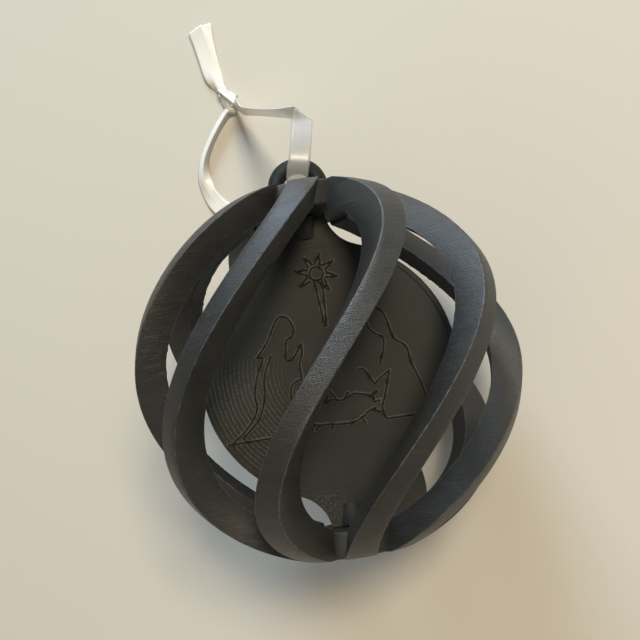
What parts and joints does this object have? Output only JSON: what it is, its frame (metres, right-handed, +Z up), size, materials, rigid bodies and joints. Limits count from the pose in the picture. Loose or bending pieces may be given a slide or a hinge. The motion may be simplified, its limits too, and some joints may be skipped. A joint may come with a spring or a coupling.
{
  "type": "spinning nativity ornament",
  "caption": "Ball-shaped cage of twisted ribs with a round engraved medallion that spins inside it on two pivots, and an eye with a ribbon to hang it by.",
  "frame": {"origin": "bottom centre of the ornament's box without the ribbon, on the table that it lies on", "axes": "+Z up from the table, +Y along the spin axis towards the eye, +X across"},
  "size_m": [0.0848, 0.1436, 0.0815],
  "materials": {
    "charcoal_print": "satin printed plastic with fine layer lines",
    "black_print": "printed plastic, flat, with fine paths and engraved lines",
    "cream_ribbon": "thin, slightly see-through film with a soft gloss"
  },
  "bodies": {
    "cage": {"rib_1": "charcoal_print", "rib_2": "charcoal_print", "rib_3": "charcoal_print", "rib_4": "charcoal_print", "rib_5": "charcoal_print", "rib_6": "charcoal_print", "rib_7": "charcoal_print", "rib_8": "charcoal_print", "top_hub": "charcoal_print", "bottom_hub": "charcoal_print", "hanging_eye": "charcoal_print", "ribbon_front_strand": "cream_ribbon", "ribbon_back_strand": "cream_ribbon", "ribbon_left_tail": "cream_ribbon", "ribbon_right_tail": "cream_ribbon", "ribbon_knot": "cream_ribbon"},
    "medallion": {"medallion": "black_print"}
  },
  "joints": [
    {"name": "medallion_spin", "type": "hinge", "parent": "cage", "child": "medallion", "pos_m": [0, -0.00398, 0.04074], "axis": [0, 1, 0], "continuous": true}
  ]
}
